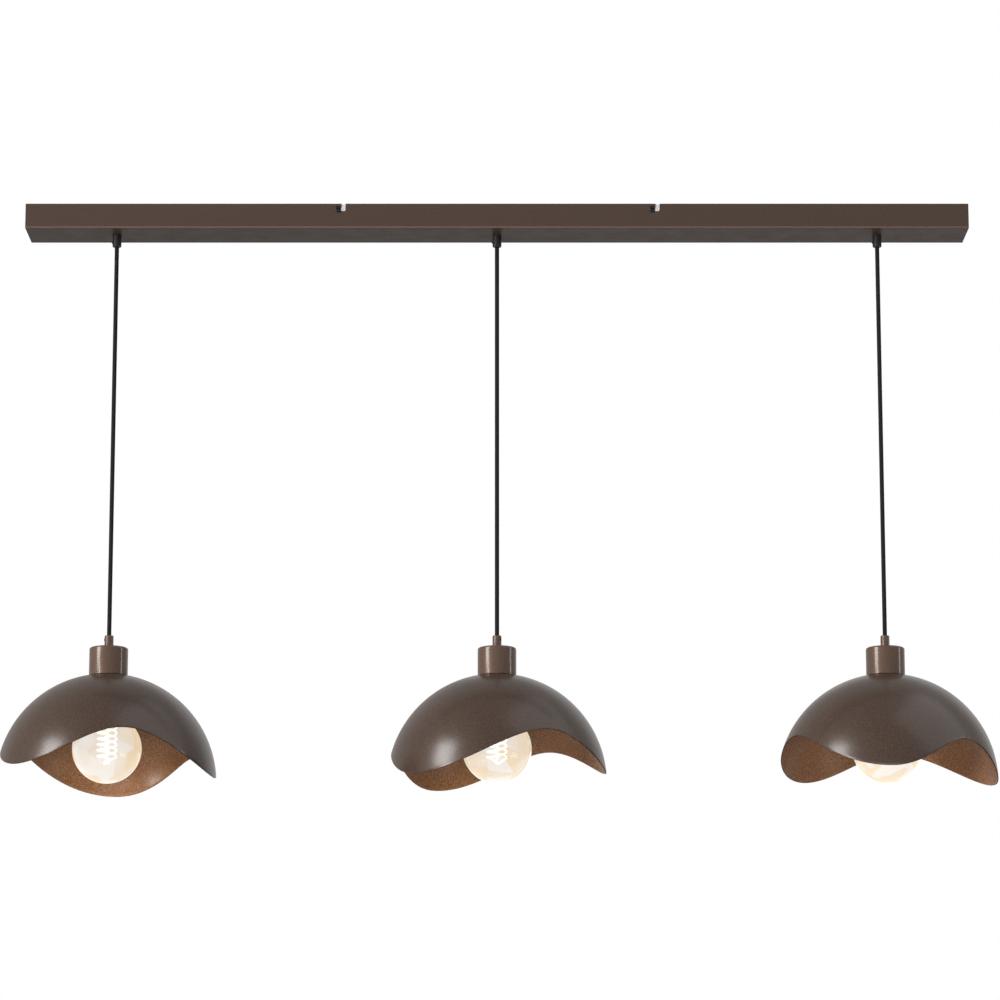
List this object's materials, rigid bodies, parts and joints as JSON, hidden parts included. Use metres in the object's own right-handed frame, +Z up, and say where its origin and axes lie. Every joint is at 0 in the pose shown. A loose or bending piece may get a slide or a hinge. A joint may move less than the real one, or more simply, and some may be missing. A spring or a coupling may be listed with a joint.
{
  "type": "pendant light",
  "caption": "Long ceiling canopy with wave-rimmed spherical metal shades hung on textile cords, each shade over a clear globe bulb.",
  "frame": {"origin": "on the ceiling plane, midway between the slots for the two ceiling screws, over the middle cord", "axes": "+X along the canopy to the right seen from the front, +Y to the back, +Z up to the ceiling; the light hangs below the origin"},
  "size_m": [1.3585, 0.2999, 0.8083],
  "materials": {
    "canopy_paint": "satin",
    "zinc_steel": "satin",
    "black_screws": "satin",
    "terminal_plastic": "matte",
    "brass": "satin",
    "grip_plastic": "semi-gloss",
    "textile_cord": "woven",
    "cup_bronze": "glossy",
    "holder_plastic": "satin",
    "shade_bronze": "satin",
    "bulb_glass": "clear",
    "cap_metal": "bright",
    "filament_glow": "lit"
  },
  "bodies": {
    "ceiling_bar": {"canopy": "canopy_paint", "left_bracket": "zinc_steel", "right_bracket": "zinc_steel", "side_screws": "black_screws", "grip_washers": "zinc_steel", "grip_nuts": "zinc_steel", "upper_grip_screws": "black_screws", "terminal_block": "terminal_plastic", "terminal_screws": "brass", "earth_stud": "brass", "left_upper_grip": "grip_plastic", "left_cord_tail": "textile_cord", "middle_upper_grip": "grip_plastic", "middle_cord_tail": "textile_cord", "right_upper_grip": "grip_plastic", "right_cord_tail": "textile_cord"},
    "left_flex": {"left_cord_flex": "textile_cord"},
    "left_cord": {"left_cord": "textile_cord"},
    "left_cord_end": {"left_cord_end": "textile_cord"},
    "left_pendant": {"left_lower_grip": "cup_bronze", "left_lower_grip_screw": "black_screws", "left_cup": "cup_bronze", "left_lampholder": "holder_plastic", "left_contacts": "brass", "left_shade_ring": "holder_plastic", "left_shade": "shade_bronze"},
    "left_bulb": {"left_bulb_globe": "bulb_glass", "left_bulb_cap": "cap_metal", "left_bulb_stem": "bulb_glass", "left_filament": "filament_glow"},
    "middle_flex": {"middle_cord_flex": "textile_cord"},
    "middle_cord": {"middle_cord": "textile_cord"},
    "middle_cord_end": {"middle_cord_end": "textile_cord"},
    "middle_pendant": {"middle_lower_grip": "cup_bronze", "middle_lower_grip_screw": "black_screws", "middle_cup": "cup_bronze", "middle_lampholder": "holder_plastic", "middle_contacts": "brass", "middle_shade_ring": "holder_plastic", "middle_shade": "shade_bronze"},
    "middle_bulb": {"middle_bulb_globe": "bulb_glass", "middle_bulb_cap": "cap_metal", "middle_bulb_stem": "bulb_glass", "middle_filament": "filament_glow"},
    "right_flex": {"right_cord_flex": "textile_cord"},
    "right_cord": {"right_cord": "textile_cord"},
    "right_cord_end": {"right_cord_end": "textile_cord"},
    "right_pendant": {"right_lower_grip": "cup_bronze", "right_lower_grip_screw": "black_screws", "right_cup": "cup_bronze", "right_lampholder": "holder_plastic", "right_contacts": "brass", "right_shade_ring": "holder_plastic", "right_shade": "shade_bronze"},
    "right_bulb": {"right_bulb_globe": "bulb_glass", "right_bulb_cap": "cap_metal", "right_bulb_stem": "bulb_glass", "right_filament": "filament_glow"}
  },
  "joints": [
    {"name": "left_swing_fore_aft", "type": "hinge", "parent": "ceiling_bar", "child": "left_flex", "pos_m": [-0.533, 0, -0.0532], "axis": [1, 0, 0], "range_deg": [-25, 25]},
    {"name": "left_swing_sideways", "type": "hinge", "parent": "left_flex", "child": "left_cord", "pos_m": [-0.533, 0, -0.0532], "axis": [0, 1, 0], "range_deg": [-8, 8]},
    {"name": "left_height", "type": "slide", "parent": "left_cord", "child": "left_cord_end", "axis": [0, 0, 1], "range_m": [0, 0.25], "deforming": ["left_cord"]},
    {"name": "left_turn", "type": "hinge", "parent": "left_cord_end", "child": "left_pendant", "pos_m": [-0.533, 0, -0.604], "axis": [0, 0, 1], "range_deg": [-180, 180]},
    {"name": "left_bulb_screw", "type": "hinge", "parent": "left_pendant", "child": "left_bulb", "pos_m": [-0.533, 0, -0.68803], "axis": [0, 0, 1], "range_deg": [-1800, 0]},
    {"name": "middle_swing_fore_aft", "type": "hinge", "parent": "ceiling_bar", "child": "middle_flex", "pos_m": [0, 0, -0.0532], "axis": [1, 0, 0], "range_deg": [-25, 25]},
    {"name": "middle_swing_sideways", "type": "hinge", "parent": "middle_flex", "child": "middle_cord", "pos_m": [0, 0, -0.0532], "axis": [0, 1, 0], "range_deg": [-8, 8]},
    {"name": "middle_height", "type": "slide", "parent": "middle_cord", "child": "middle_cord_end", "axis": [0, 0, 1], "range_m": [0, 0.25], "deforming": ["middle_cord"]},
    {"name": "middle_turn", "type": "hinge", "parent": "middle_cord_end", "child": "middle_pendant", "pos_m": [0, 0, -0.604], "axis": [0, 0, 1], "range_deg": [-180, 180]},
    {"name": "middle_bulb_screw", "type": "hinge", "parent": "middle_pendant", "child": "middle_bulb", "pos_m": [0, 0, -0.68803], "axis": [0, 0, 1], "range_deg": [-1800, 0]},
    {"name": "right_swing_fore_aft", "type": "hinge", "parent": "ceiling_bar", "child": "right_flex", "pos_m": [0.533, 0, -0.0532], "axis": [1, 0, 0], "range_deg": [-25, 25]},
    {"name": "right_swing_sideways", "type": "hinge", "parent": "right_flex", "child": "right_cord", "pos_m": [0.533, 0, -0.0532], "axis": [0, 1, 0], "range_deg": [-8, 8]},
    {"name": "right_height", "type": "slide", "parent": "right_cord", "child": "right_cord_end", "axis": [0, 0, 1], "range_m": [0, 0.25], "deforming": ["right_cord"]},
    {"name": "right_turn", "type": "hinge", "parent": "right_cord_end", "child": "right_pendant", "pos_m": [0.533, 0, -0.604], "axis": [0, 0, 1], "range_deg": [-180, 180]},
    {"name": "right_bulb_screw", "type": "hinge", "parent": "right_pendant", "child": "right_bulb", "pos_m": [0.533, 0, -0.68803], "axis": [0, 0, 1], "range_deg": [-1800, 0]}
  ]
}
